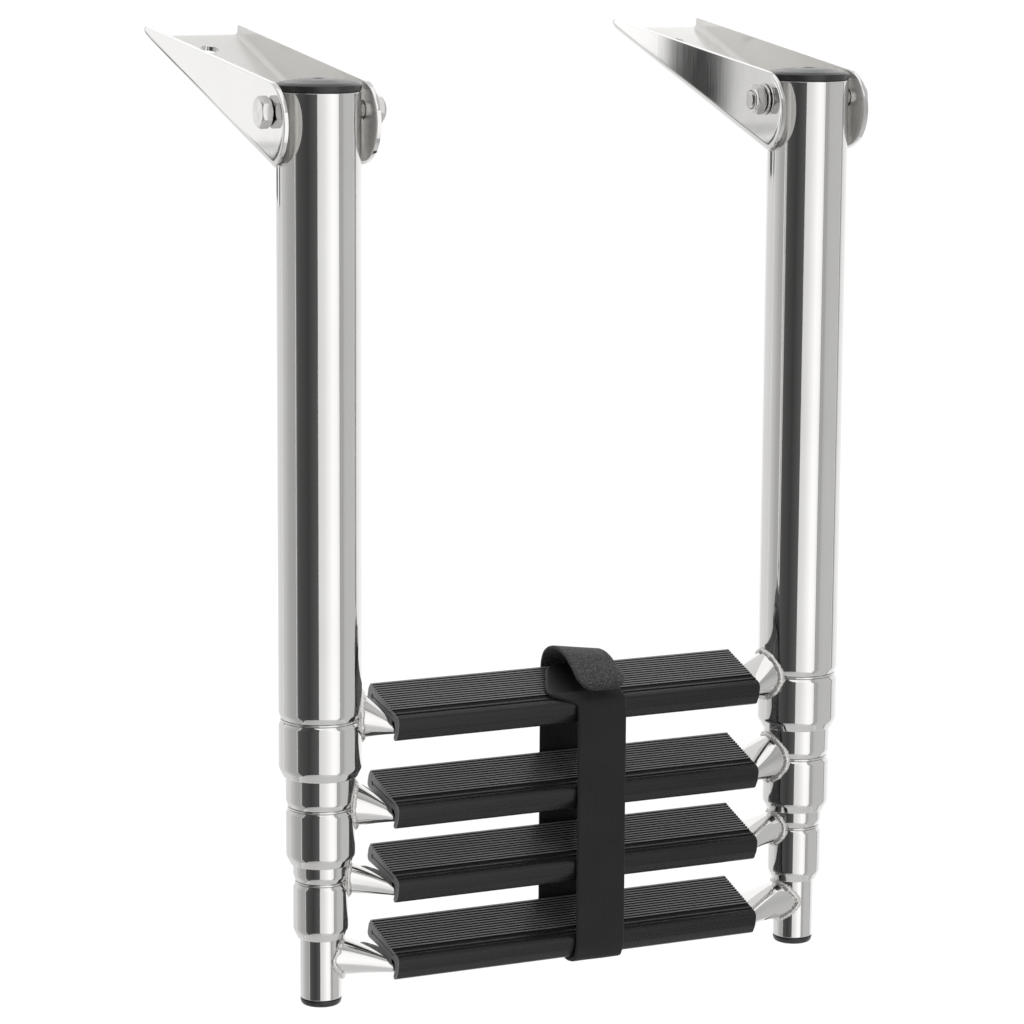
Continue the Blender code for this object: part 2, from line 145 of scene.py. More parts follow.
def tube_radius(stage):
    low, high = BOXES[f"tube_{stage}_left"]
    return (high.x - low.x) / 2


def first_joint():
    return Vector((0, leg_axis("left").y, joint_height(1)))


# --- Materials ---

ONE_NOISE = (0.3, 0.7)  # the range in which most of a noise lies
TWO_NOISES = (0.7, 1.3)  # and of the sum of two
FINE_GRAIN = 1900  # the noise scale of moulded and drawn black plastic
BUMP = 0.1 * MM  # how deep a bump is, unless a recipe says otherwise


class Shade:
    """A material's nodes, with the short calls that the recipes below use.

    Its plain colour and roughness hold until a recipe tints or roughens it.
    """

    def __init__(self, name, colour, metallic, roughness):
        self.material = bpy.data.materials.new(name)
        self.material.use_nodes = True
        self.tree = self.material.node_tree
        self.shader = self.tree.nodes["Principled BSDF"]
        self.place = self.node("TexCoord", {}).outputs["Object"]
        self.give("Base Color", (*colour, 1))
        self.give("Metallic", metallic)
        self.give("Roughness", roughness)

    def give(self, socket, plain):
        self.shader.inputs[socket].default_value = plain

    def drive(self, socket, value):
        self.tree.links.new(value, self.shader.inputs[socket])

    def node(self, kind, inputs):
        """A new node, whose inputs are plain values or the outputs of other nodes."""
        made = self.tree.nodes.new("ShaderNode" + kind)
        for key, given in inputs.items():
            if isinstance(given, bpy.types.NodeSocket):
                self.tree.links.new(given, made.inputs[key])
            else:
                made.inputs[key].default_value = given
        return made

    def stretched(self, x, y, z):
        return self.node("Mapping", {"Scale": (x, y, z), "Vector": self.place}).outputs["Vector"]

    def noise(self, scale, detail=2.0, place=None):
        inputs = {"Scale": scale, "Detail": detail, "Vector": place or self.place}
        return self.node("TexNoise", inputs).outputs["Fac"]

    def streaks(self, detail, x, y, z):
        return self.noise(1, detail, self.stretched(x, y, z))

    def mapped(self, value, low, high, to_low, to_high):
        inputs = {"Value": value, "From Min": low, "From Max": high, "To Min": to_low, "To Max": to_high}
        return self.node("MapRange", inputs).outputs["Result"]

    def combined(self, operation, first, second):
        made = self.node("Math", {0: first, 1: second})
        made.operation = operation
        return made.outputs["Value"]

    def sum(self, first, second):
        return self.combined("ADD", first, second)

    def mixed(self, factor, first, second):
        """A blend of two colours, each plain or the output of a node."""
        ends = [c if isinstance(c, bpy.types.NodeSocket) else (*c, 1) for c in (first, second)]
        made = self.node("Mix", {"Factor": factor, 6: ends[0], 7: ends[1]})
        made.data_type = "RGBA"
        return made.outputs[2]

    def tint(self, value, first, second):
        self.drive("Base Color", self.mixed(value, first, second))

    def roughen(self, value, low, high, usual=ONE_NOISE):
        self.drive("Roughness", self.mapped(value, *usual, low, high))

    def vary(self, value, first, second, low, high):
        """Tints and roughens by the same value."""
        self.tint(value, first, second)
        self.roughen(value, low, high)

    def bump(self, height, strength, distance=BUMP):
        inputs = {"Height": height, "Strength": strength, "Distance": distance}
        self.drive("Normal", self.node("Bump", inputs).outputs["Normal"])


def polished_steel():
    """Mirror-polished stainless: faint long buffing marks and cloudy patches."""
    shade = Shade("polished_steel", (0.80, 0.795, 0.785), 1.0, 0.06)
    cloud = shade.noise(28, 3)
    streak = shade.streaks(4, 900, 900, 40)
    shade.tint(cloud, (0.82, 0.815, 0.81), (0.76, 0.75, 0.735))
    shade.roughen(shade.sum(cloud, streak), 0.035, 0.085, TWO_NOISES)
    shade.bump(streak, 0.02)
    return shade.material


def inner_steel_bounce():
    """Inside of the brackets: rougher, where the polishing wheel did not reach well, and half diffuse and
    near white as painted light that stands in for the light bounced between the ears.
    """
    shade = Shade("inner_steel_bounce", (0.88, 0.87, 0.85), 0.5, 0.2)
    cloud = shade.noise(30, 3)
    shade.vary(cloud, (0.92, 0.91, 0.89), (0.84, 0.825, 0.80), 0.14, 0.22)
    shade.bump(shade.streaks(3, 900, 50, 900), 0.01)
    return shade.material


def bolt_steel():
    """Plain bright fasteners: a little rougher, with fine turning marks."""
    shade = Shade("bolt_steel", (0.74, 0.73, 0.72), 1.0, 0.16)
    grain = shade.noise(2600, 4)
    cloud = shade.noise(180, 2)
    shade.tint(cloud, (0.78, 0.77, 0.76), (0.66, 0.65, 0.63))
    shade.roughen(shade.sum(grain, cloud), 0.12, 0.26, TWO_NOISES)
    shade.bump(grain, 0.08)
    return shade.material


def weld_steel():
    """Brushed weld bead: bright, slightly straw coloured in the hollows."""
    shade = Shade("weld_steel", (0.82, 0.81, 0.79), 0.6, 0.3)
    cloud = shade.noise(700, 3)
    shade.vary(cloud, (0.90, 0.895, 0.88), (0.70, 0.68, 0.64), 0.2, 0.36)
    shade.bump(cloud, 0.2, 0.15 * MM)
    return shade.material


def cover_black():
    """Extruded black cover: satin, with drawn lines along its length."""
    shade = Shade("cover_black", (0.013, 0.013, 0.014), 0.0, 0.3)
    shade.give("Specular IOR Level", 0.36)
    drawn = shade.streaks(3, 9, 1500, 1500)
    grained = shade.sum(drawn, shade.noise(FINE_GRAIN, 3))
    shade.tint(drawn, (0.009, 0.009, 0.010), (0.018, 0.018, 0.019))
    shade.roughen(grained, 0.22, 0.36, TWO_NOISES)
    shade.bump(grained, 0.22, 0.12 * MM)
    return shade.material


def rib_top_highlight():
    """Tops of the ribs: the same black plastic, painted lighter grey as the painted highlight that each
    rib's top catches.
    """
    shade = Shade("rib_top_highlight", (0.05, 0.05, 0.05), 0.0, 0.3)
    drawn = shade.streaks(3, 14, 900, 900)
    shade.vary(drawn, (0.10, 0.10, 0.102), (0.2, 0.2, 0.202), 0.22, 0.34)
    shade.bump(shade.noise(FINE_GRAIN, 3), 0.08)
    return shade.material


def groove():
    """Floors of the grooves: dull black, painted darker and less shiny than the cover as the shade that
    falls deep in the grooves.
    """
    shade = Shade("groove", (0.007, 0.007, 0.007), 0.0, 0.6)
    shade.give("Specular IOR Level", 0.1)
    dust = shade.noise(260, 4)
    shade.vary(dust, (0.005, 0.005, 0.005), (0.013, 0.013, 0.013), 0.55, 0.75)
    shade.bump(shade.noise(FINE_GRAIN, 3), 0.1)
    return shade.material


def cover_cut():
    """Sawn end of a cover: greyer and duller, with fine saw marks."""
    shade = Shade("cover_cut", (0.1, 0.1, 0.102), 0.0, 0.6)
    saw = shade.streaks(3, 400, 500, 3200)
    shade.vary(saw, (0.2, 0.2, 0.202), (0.34, 0.34, 0.343), 0.48, 0.68)
    shade.bump(saw, 0.25, 0.15 * MM)
    return shade.material


def plug_black():
    """Moulded plugs: black polyethylene with a fine even grain."""
    shade = Shade("plug_black", (0.02, 0.02, 0.02), 0.0, 0.36)
    cloud = shade.noise(120, 2)
    shade.vary(cloud, (0.028, 0.028, 0.028), (0.042, 0.042, 0.042), 0.24, 0.34)
    shade.bump(shade.noise(2400, 4), 0.06)
    return shade.material


def nylon():
    """Off-white guides and glides inside the legs."""
    shade = Shade("nylon", (0.75, 0.74, 0.70), 0.0, 0.4)
    cloud = shade.noise(150, 3)
    shade.vary(cloud, (0.78, 0.77, 0.73), (0.70, 0.69, 0.64), 0.34, 0.48)
    shade.bump(shade.noise(1500, 3), 0.1)
    return shade.material


def webbing():
    """Black hook-and-loop strap: woven runs, and a fuzzy grey loop face on the arch."""
    shade = Shade("webbing", (0.013, 0.013, 0.015), 0.0, 0.8)
    shade.give("Sheen Weight", 0.15)
    shade.give("Sheen Roughness", 0.45)
    shade.give("Specular IOR Level", 0.3)
    height = shade.node("SeparateXYZ", {"Vector": shade.place}).outputs["Z"]
    base = first_joint().z
    loop_face = shade.mapped(height, base + 3 * MM, base + 9 * MM, 0.0, 1.0)
    weave = shade.node("TexWave", {"Scale": 320, "Distortion": 1.5, "Vector": shade.place})
    weave.bands_direction = "X"
    fuzz = shade.noise(1500, 5)
    tufts = shade.combined("MULTIPLY", loop_face, shade.mapped(fuzz, 0.42, 0.68, 0.0, 1.0))
    plain = shade.mixed(shade.noise(60, 3), (0.014, 0.014, 0.016), (0.024, 0.024, 0.026))
    looped = shade.mixed(tufts, (0.022, 0.022, 0.023), (0.13, 0.13, 0.132))
    shade.tint(loop_face, plain, looped)
    shade.bump(shade.sum(weave.outputs["Fac"], shade.sum(tufts, fuzz)), 0.4, 0.25 * MM)
    return shade.material


def inner_end_shade():
    """The strap's inner end: painted shade, a darker and smoother copy of the webbing for the shadow that
    the arch casts on it.
    """
    shade = Shade("inner_end_shade", (0.007, 0.007, 0.008), 0.0, 0.5)
    speckle = shade.noise(2200, 2)
    shade.vary(speckle, (0.004, 0.004, 0.005), (0.008, 0.008, 0.009), 0.4, 0.6)
    shade.bump(speckle, 0.3, 0.2 * MM)
    return shade.material


STEEL = polished_steel()
# a lighter copy of the steel for the brackets' inner faces, with painted bounce light
INNER_STEEL_BOUNCE = inner_steel_bounce()
BOLT_STEEL = bolt_steel()
WELD = weld_steel()
COVER = cover_black()
# painted highlight for the tops of the ribs
RIB_TOP_HIGHLIGHT = rib_top_highlight()
# painted shade for the floors of the grooves
GROOVE = groove()
CUT_END = cover_cut()
PLUG = plug_black()
NYLON = nylon()
WEBBING = webbing()
# painted shade for the strap's inner end, under the arch
INNER_END_SHADE = inner_end_shade()


# --- Mesh helpers ---

def placed(name, data):
    """A new object in the scene."""
    made = bpy.data.objects.new(name, data)
    bpy.context.scene.collection.objects.link(made)
    return made


def solid(name, verts, faces, materials=(), marks=None):
    """An object with its faces turned outwards.

    marks gives the material number of each face, where there is more than one.
    """
    mesh = bpy.data.meshes.new(name)
    mesh.from_pydata([tuple(v) for v in verts], [], faces)
    for material in materials:
        mesh.materials.append(material)
    if marks:
        mesh.polygons.foreach_set("material_index", marks)
    shape = bmesh.new()
    shape.from_mesh(mesh)
    bmesh.ops.remove_doubles(shape, verts=shape.verts, dist=1e-7)
    bmesh.ops.recalc_face_normals(shape, faces=shape.faces)
    shape.to_mesh(mesh)
    shape.free()
    return placed(name, mesh)


def piece(name, node, verts, faces, materials, body, slot, sharp=32, marks=None):
    """A smooth-shaded object that rides on a body and stands for a CAD node.

    Edges that turn by more than sharp, in degrees, stay sharp.
    """
    made = solid(name, verts, faces, materials, marks)
    made.data.shade_smooth()
    made.data.set_sharp_from_angle(angle=radians(sharp))
    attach(made, body)
    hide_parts(node)
    return made


def cut_away(made, cutters):
    """Takes the cutters out of an object's shape, and then out of the scene."""
    for cutter in cutters:
        cut = made.modifiers.new(cutter.name, "BOOLEAN")
        cut.operation = "DIFFERENCE"
        cut.solver = "EXACT"
        cut.object = cutter
    bpy.context.view_layer.update()
    graph = bpy.context.evaluated_depsgraph_get()
    mesh = bpy.data.meshes.new_from_object(made.evaluated_get(graph))
    made.modifiers.clear()
    made.data = mesh
    for cutter in cutters:
        bpy.data.objects.remove(cutter, do_unlink=True)


def circle(centre, radius, count, way=1):
    """Points round a circle, anticlockwise or the other way."""
    angles = [tau * i / count for i in range(count)]
    return [Vector((centre[0] + radius * cos(a), centre[1] + way * radius * sin(a)))
            for a in angles]


def rounded(corners, steps=6, closed=True):
    """An outline from (x, y, radius) corners, each rounded by an arc."""
    outline = []
    for i, (x, y, radius) in enumerate(corners):
        point = Vector((x, y))
        if radius <= 0 or (not closed and i in (0, len(corners) - 1)):
            outline.append(point)
            continue
        before = (Vector(corners[i - 1][:2]) - point)
        after = (Vector(corners[(i + 1) % len(corners)][:2]) - point)
        half = before.angle(after) / 2
        reach = min(radius / tan(half), 0.49 * before.length, 0.49 * after.length)
        bow = reach * tan(half)
        start, end = point + before.normalized() * reach, point + after.normalized() * reach
        centre = point + (before.normalized() + after.normalized()).normalized() * (
            bow / sin(half))
        first = start - centre
        turn = first.angle_signed(end - centre)
        for k in range(steps + 1):
            outline.append(centre + Matrix.Rotation(-turn * k / steps, 2) @ first)
    return outline


def with_supports(outline, closed, margin=0.5 * MM):
    """Adds a point near each end of a long straight, so that it shades flat."""
    made = []
    count = len(outline)
    for i, point in enumerate(outline):
        made.append(point)
        if i == count - 1 and not closed:
            break
        following = outline[(i + 1) % count]
        run = following - point
        if run.length > 4 * margin:
            made.append(point + run.normalized() * margin)
            made.append(following - run.normalized() * margin)
    return made


def turned(outline, axis, closed=True, segments=96):
    """Verts and faces of a (radius, height) outline turned about a leg's axis."""
    verts, faces, rings = [], [], []
    for radius, height in with_supports(outline, closed):
        start = len(verts)
        count = 1 if radius < 1e-6 else segments
        for i in range(count):
            angle = tau * i / segments
            verts.append((axis.x + radius * cos(angle), axis.y + radius * sin(angle), height))
        rings.append(range(start, start + count))
    pairs = list(zip(rings, rings[1:]))
    if closed:
        pairs.append((rings[-1], rings[0]))
    for low, high in pairs:
        for i in range(segments):
            j = (i + 1) % segments
            corners = (low[i % len(low)], low[j % len(low)], high[j % len(high)], high[i % len(high)])
            face = list(dict.fromkeys(corners))
            if len(face) > 2:
                faces.append(face)
    return verts, faces


def lofted(rings, looped=False):
    """Verts and faces through closed rings of equal count, capped or looped at the ends."""
    verts = [point for ring in rings for point in ring]
    count = len(rings[0])
    faces = []
    for r in range(len(rings) if looped else len(rings) - 1):
        start, following = r * count, (r + 1) % len(rings) * count
        for i in range(count):
            j = (i + 1) % count
            faces.append((start + i, start + j, following + j, following + i))
    if not looped:
        faces.append(tuple(range(count))[::-1])
        faces.append(tuple((len(rings) - 1) * count + i for i in range(count)))
    return verts, faces


def joined(*shapes):
    """Several (verts, faces) put together as one."""
    verts, faces = [], []
    for more_verts, more_faces in shapes:
        start = len(verts)
        verts += list(more_verts)
        faces += [tuple(start + i for i in face) for face in more_faces]
    return verts, faces


def smoothstep(t):
    t = min(max(t, 0.0), 1.0)
    return t * t * (3 - 2 * t)


# --- Legs ---

PLUG_PLAY = 0.3 * MM  # between a plug and the tube round it


def leg_tube(stage, side):
    """Plain tube, drawn in a little at its lower end where a collar holds it."""
    node = f"tube_{stage}_{side}"
    low, high = BOXES[node]
    radius = tube_radius(stage)
    bore = radius - TUBE_WALL
    if stage == 4:
        foot = [(radius, low.z, 0.35 * MM)]
    else:
        foot = [(radius, low.z + 2.6 * MM, 4 * MM), (radius - 1.05 * MM, low.z, 0.25 * MM)]
    corners = [(radius, high.z, 0.4 * MM)] + foot + [(bore, low.z, 0), (bore, high.z, 0.3 * MM)]
    shape = turned(rounded(corners), leg_axis(side))
    piece(f"leg_{stage}_{side}", node, *shape, [STEEL], f"stage_{stage}", "polished_steel")


def collar(stage, side):
    """Collar with a soft shoulder and lip, and the bright ring in the groove above it."""
    node = f"collar_{stage}_{side}"
    axis = leg_axis(side)
    low, high = BOXES[node]
    radius = tube_radius(stage)
    bore = radius - TUBE_WALL
    lip_bore = tube_radius(stage + 1) + 0.5 * MM
    lip_top = low.z + 1.2 * MM
    corners = [(bore, high.z, 0), (radius - 1.1 * MM, high.z, 0.25 * MM),
               (radius, high.z - 1.9 * MM, 3 * MM), (radius, low.z + 4.2 * MM, 5 * MM),
               (radius - 2.0 * MM, low.z, 0.5 * MM), (lip_bore, low.z, 0),
               (lip_bore, lip_top, 0), (bore, lip_top, 0)]
    ring = circle((radius - 1.15 * MM, high.z + JOINT_GROOVE / 2), 0.5 * MM, 12, -1)
    shape = joined(turned(rounded(corners), axis), turned(ring, axis))
    piece(f"end_collar_{stage}_{side}", node, *shape, [STEEL], f"stage_{stage}", "polished_steel")


def plug(name, node, corners, side, body):
    """A solid black plug, turned from the corners of its half section."""
    shape = turned(rounded(corners, closed=False), leg_axis(side), closed=False)
    piece(name, node, *shape, [PLUG], body, "black_plastic")


def top_cap(side):
    """Flanged plug: bevelled rim, shallow dome, moulding dimple in the middle."""
    node = f"top_cap_{side}"
    low, high = BOXES[node]
    flange = (high.x - low.x) / 2
    radius = tube_radius(1)
    skirt = radius - TUBE_WALL - PLUG_PLAY
    crown = high.z
    seat = BOXES[f"tube_1_{side}"][1].z + PLUG_PLAY
    plug(f"top_plug_{side}", node, [
        (0, crown - 1.6 * MM, 0), (2.2 * MM, crown - 1.6 * MM, 0.3 * MM),
        (2.8 * MM, crown - 0.15 * MM, 0.25 * MM), (3.6 * MM, crown, 0.4 * MM),
        (10 * MM, crown - 0.45 * MM, 30 * MM), (17.2 * MM, crown - 1.7 * MM, 6 * MM),
        (flange, crown - 2.7 * MM, 0.5 * MM), (radius - 0.05 * MM, seat, 0.3 * MM),
        (skirt, seat, 0), (skirt, low.z, 0.4 * MM), (skirt - 2 * MM, low.z, 0.3 * MM),
        (skirt - 2 * MM, seat, 0.4 * MM), (0, seat, 0)], side, "stage_1")


def foot_cap(side):
    """Plug in the foot: short tapered skirt and a rounded sole."""
    node = f"foot_cap_{side}"
    low, high = BOXES[node]
    radius = (high.x - low.x) / 2
    seat = BOXES[f"tube_4_{side}"][0].z - PLUG_PLAY
    skirt = radius - TUBE_WALL - PLUG_PLAY
    plug(f"foot_plug_{side}", node, [
        (0, high.z, 0), (skirt - 0.8 * MM, high.z, 0.5 * MM), (skirt, high.z - 2 * MM, 1 * MM),
        (skirt, seat, 0), (radius - 0.1 * MM, seat, 0.25 * MM),
        (radius, seat - 0.7 * MM, 0.6 * MM), (radius - 0.6 * MM, low.z, 1.5 * MM),
        (3 * MM, low.z + 0.1 * MM, 0.3 * MM), (2.4 * MM, low.z + 0.7 * MM, 0.3 * MM),
        (0, low.z + 0.7 * MM, 0)], side, "stage_4")


# --- Deck brackets ---

def in_bracket(side, x, u, v):
    """A point given across, along and up from a bracket's mounting face."""
    x *= 1 + TIP_SPREAD / EAR_HALF * u / BRACKET_REACH
    return Vector((leg_axis(side).x + x, *kicked(u - DATUM, v)))


def spread(count, power=1.0):
    return [(i / count) ** power for i in range(count + 1)]


def ear_columns(half):
    """(x, front (u, v), rear (u, v), normal) from an ear's top edge down to its bend."""
    slope = atan2(2 * EAR_RADIUS - TIP_HEIGHT, BRACKET_REACH)
    top = pi / 2 - slope
    bend = 1.5 * pi - acos((EAR_RADIUS - BEND_RADIUS) / EAR_RADIUS)
    steps = [0, 0.004, 0.012, 0.03] + [0.03 + 0.94 * t for t in spread(44)[1:]] + [0.985, 1]
    level = 0.25        # the first share of the columns, which end level with the tip's top
    columns = []
    for t in steps:
        angle = top + (bend - top) * t
        front = (EAR_RADIUS * cos(angle), EAR_RADIUS * (1 + sin(angle)))
        share = max(0.0, (t - level) / (1 - level))
        rear_height = TIP_HEIGHT + (BEND_RADIUS - TIP_HEIGHT) * share
        rear = (BRACKET_REACH - 1.2 * MM * (1 - share), rear_height)
        columns.append((half, front, rear, (1, 0)))
    return columns


def front_edge(x, v):
    """Where the base or bend starts: coped to the leg, or on the ear's round end."""
    clear = tube_radius(1) + LEG_CLEARANCE
    round_end = -sqrt(max(EAR_RADIUS ** 2 - (EAR_RADIUS - v) ** 2, 0))
    if abs(x) >= clear:
        return round_end
    coped = (sqrt(clear ** 2 - x ** 2) - (PIVOT_HEIGHT - v) * sin(KICK)) / cos(KICK)
    return max(round_end, coped)


def bracket_columns():
    """Columns across the whole formed sheet, from one ear's top to the other's."""
    half = EAR_HALF - SHEET / 2
    bend = BEND_RADIUS - SHEET / 2
    flat = half - bend
    side = ear_columns(half)
    for i in range(1, 12):
        angle = radians(90 * i / 12)
        x, v = flat + bend * cos(angle), SHEET / 2 + bend * (1 - sin(angle))
        rear = BRACKET_REACH + (BASE_END - BRACKET_REACH) * smoothstep(i / 8)
        side.append((x, (front_edge(x, v), v), (rear, v), (cos(angle), -sin(angle))))
    for x in (flat, flat - 0.4 * MM, flat * 0.75, flat * 0.5, flat * 0.25):
        v = SHEET / 2
        side.append((x, (front_edge(x, v), v), (BASE_END, v), (0, -1)))
    centre = (0, (front_edge(0, SHEET / 2), SHEET / 2), (BASE_END, SHEET / 2), (0, -1))
    mirrored = [(-x, f, r, (-n[0], n[1])) for x, f, r, n in reversed(side)]
    return side + [centre] + mirrored


def bracket_rows():
    """Where the points of each column lie, as shares of its run, close together at its ends."""
    rows = [0, 0.0006, 0.0018, 0.004, 0.008, 0.014]
    rows += [0.014 + 0.972 * t for t in spread(30, 1.4)[1:]]
    return rows + [0.992, 0.997, 1]


def edge_thickness(distance):
    """Half the sheet's thickness near its edge, rounded over by polishing."""
    reach = 2.2 * MM
    near = min(distance / reach, 1.0)
    return SHEET / 2 * (0.72 + 0.28 * sqrt(1 - (1 - near) ** 2))


def bracket_skin(side, columns, rows, face):
    """Points of the sheet's outer (1) or inner (-1) face, column by column."""
    sheet = [[(x, front[0] + (rear[0] - front[0]) * t, front[1] + (rear[1] - front[1]) * t)
              for t in rows] for x, front, rear, _ in columns]
    skin = []
    for line, (x, front, rear, normal) in zip(sheet, columns):
        run = dist(front, rear)
        across = min(dist(line[2], sheet[end][2]) for end in (0, -1))
        for (_, u, v), t in zip(line, rows):
            half = edge_thickness(min(t * run, (1 - t) * run, across)) * face
            skin.append(in_bracket(side, x + normal[0] * half, u, v + normal[1] * half))
    return skin


def two_skins(columns, rows):
    """Faces that close an outer and an inner skin, and their marks: 1 for the inner one."""
    inner = columns * rows
    faces, marks = [], []
    for c in range(columns - 1):
        for r in range(rows - 1):
            a, b = c * rows + r, (c + 1) * rows + r
            faces.append((a, b, b + 1, a + 1))
            faces.append((inner + a, inner + a + 1, inner + b + 1, inner + b))
            marks += [0, 1]
    rim = [c * rows for c in range(columns)]
    rim += [(columns - 1) * rows + r for r in range(1, rows)]
    rim += [c * rows + rows - 1 for c in range(columns - 2, -1, -1)]
    rim += range(rows - 2, 0, -1)
    for a, b in zip(rim, rim[1:] + rim[:1]):
        faces.append((a, b, inner + b, inner + a))
        marks.append(0)
    return faces, marks


def hole_cutter(radius, place, direction):
    """A turned cutter with a small chamfer where it leaves each face of the sheet."""
    lip, face, end = 0.2 * MM, SHEET / 2, 4 * MM
    outline = [Vector(p) for p in ((0, end), (radius + lip * 2, end), (radius + lip, face),
                                   (radius, face - lip), (radius, -face + lip),
                                   (radius + lip, -face), (radius + lip * 2, -end), (0, -end))]
    made = solid("hole", *turned(outline, Vector((0, 0)), closed=False, segments=64))
    turn = Vector((0, 0, 1)).rotation_difference(direction).to_matrix().to_4x4()
    made.data.transform(Matrix.Translation(place) @ turn)
    return made


def bracket(side):
    """The formed sheet, with two screw holes in its base and the bolt holes in its ears."""
    columns, rows = bracket_columns(), bracket_rows()
    verts = [point for face in (1, -1) for point in bracket_skin(side, columns, rows, face)]
    faces, marks = two_skins(len(columns), len(rows))
    # the inner skin takes the second material, the lighter steel with painted bounce light
    made = piece(f"formed_bracket_{side}", f"bracket_{side}", verts, faces, [STEEL, INNER_STEEL_BOUNCE],
                 "root", "polished_steel", sharp=40, marks=marks)
    up = Vector((0, -sin(KICK), cos(KICK)))
    cutters = [hole_cutter(SCREW_HOLE, in_bracket(side, 0, u, SHEET / 2), up) for u in SCREW_PLACES]
    ear = EAR_HALF - SHEET / 2
    cutters += [hole_cutter(BOLT_HOLE, in_bracket(side, x, 0, PIVOT_HEIGHT), Vector((1, 0, 0)))
                for x in (-ear, ear)]
    cut_away(made, cutters)


# --- Hinge bolts ---

def hexagon(flat, height, turn, bore=0.0, segments=96):
    """A hexagon with chamfered corners as verts and faces, its base at z = 0."""
    slope = tan(radians(30))
    corner, rim = flat / cos(pi / 6), flat * 0.95
    steps = 8
    limits = [rim + (corner - rim) * k / steps for k in range(steps + 1)]
    levels = [(0, rim)] + [((limit - rim) * slope, limit) for limit in limits]
    levels += [(height - (limit - rim) * slope, limit) for limit in reversed(limits)]
    levels.append((height, rim * 0.9))
    if bore:
        levels += [(height, bore), (0, bore)]
    rings = []
    for level, limit in levels:
        ring = []
        for i in range(segments):
            angle = tau * i / segments
            side = (angle + pi / 6) % (pi / 3) - pi / 6
            radius = min(flat / cos(side), limit)
            ring.append(Vector((radius * cos(angle + turn), radius * sin(angle + turn), level)))
        rings.append(ring)
    return lofted(rings, looped=bore > 0)


def on_hinge(side, shape, x, direction):
    """A shape made about +Z, laid along the hinge line from x towards +X or -X."""
    pivot = in_bracket(side, 0, 0, PIVOT_HEIGHT)
    turn = Matrix.Rotation(radians(90) * direction, 4, "Y")
    move = Matrix.Translation(Vector((x, pivot.y, pivot.z))) @ turn
    verts, faces = shape
    return [move @ Vector(v) for v in verts], faces


def fastener(name, node, shape, sharp=28):
    piece(name, node, *shape, [BOLT_STEEL], "root", "fasteners", sharp=sharp)


def hex_bolt(side, sign):
    """Bolt with a chamfered head outboard and a thread that shows beyond the nut."""
    node = f"bolt_{side}"
    low, high = BOXES[node]
    out_end, in_end = (low.x, high.x) if sign < 0 else (high.x, low.x)
    seat = leg_axis(side).x + sign * (EAR_HALF + 0.3 * MM)
    head = hexagon(HEX_FLAT, abs(out_end - seat), radians(25) * sign)
    end = abs(in_end - seat)
    crest, root, pitch = 3.95 * MM, 3.5 * MM, 1.25 * MM
    thread = [(0, end, 0), (3.2 * MM, end, 0.2 * MM), (crest, end - 0.8 * MM, 0.1 * MM)]
    for k in range(5):
        level = end - 1.2 * MM - pitch * k
        thread += [(crest, level, 0.08 * MM), (root, level - pitch * 0.35, 0.1 * MM),
                   (crest, level - pitch * 0.7, 0.08 * MM)]
    thread += [(crest, 0, 0), (0, 0, 0)]
    shank = turned(rounded(thread, 2, closed=False), Vector((0, 0)), closed=False, segments=64)
    fastener(f"hex_bolt_{side}", node, joined(on_hinge(side, head, seat, sign),
                                              on_hinge(side, shank, seat, -sign)))


def flat_washer(side, sign):
    node = f"washer_{side}"
    low, high = BOXES[node]
    outer, bore, thick = (high.y - low.y) / 2, 4.4 * MM, high.x - low.x
    corners = [(outer, thick, 0.25 * MM), (outer, 0, 0.25 * MM), (bore, 0, 0.1 * MM),
               (bore, thick, 0.1 * MM)]
    ring = turned(rounded(corners, 3), Vector((0, 0)))
    seat = high.x if sign > 0 else low.x
    fastener(f"flat_washer_{side}", node, on_hinge(side, ring, seat, -sign), sharp=32)


def lock_nut(side, sign):
    """Nut with a locking ring that stands out of it."""
    node = f"nut_{side}"
    low, high = BOXES[node]
    total = high.x - low.x
    bore, shoulder = 4.2 * MM, total * 0.78
    body = hexagon(HEX_FLAT, total * 0.8, radians(-9) * sign, bore)
    corners = [(5.4 * MM, total, 0.9 * MM), (5.7 * MM, shoulder, 0), (bore, shoulder, 0),
               (bore, total, 0.4 * MM)]
    ring = turned(rounded(corners, 4), Vector((0, 0)))
    seat = high.x if sign > 0 else low.x
    fastener(f"lock_nut_{side}", node, joined(on_hinge(side, body, seat, -sign),
                                              on_hinge(side, ring, seat, -sign)))


# --- Steps ---

def on_step(stage, x, u, v):
    """A point on a step: along it, back from its joint and up from it."""
    y, z = kicked(u, v)
    return Vector((x, leg_axis("left").y + y, joint_height(stage) + z))


def rib_points():
    """The ribbed top, front to back, as (u, v, radius) corners."""
    dip, line, land = (TREAD_TOP - depth for depth in (RIB_DEPTH, 0.5 * MM, 0.35 * MM))
    points = [(-14.5 * MM, TREAD_TOP - 0.1 * MM, 1.2 * MM), (-14.1 * MM, line, 0.15 * MM),
              (-13.5 * MM, line, 0.15 * MM), (-13.2 * MM, TREAD_TOP, 0.2 * MM),
              (-12.2 * MM, TREAD_TOP, 0.2 * MM), (-11.9 * MM, land, 0.2 * MM),
              (FIRST_RIB - 0.5 * MM, land, 0.2 * MM)]
    for k in range(RIBS):
        u = FIRST_RIB + RIB_PITCH * k
        points += [(u - 0.2 * MM, dip, 0.12 * MM), (u, TREAD_TOP, 0.15 * MM),
                   (u + 0.9 * MM, TREAD_TOP, 0.15 * MM), (u + 1.1 * MM, dip, 0.12 * MM)]
    points.append((FIRST_RIB + RIB_PITCH * RIBS, TREAD_TOP, 0.2 * MM))
    return points


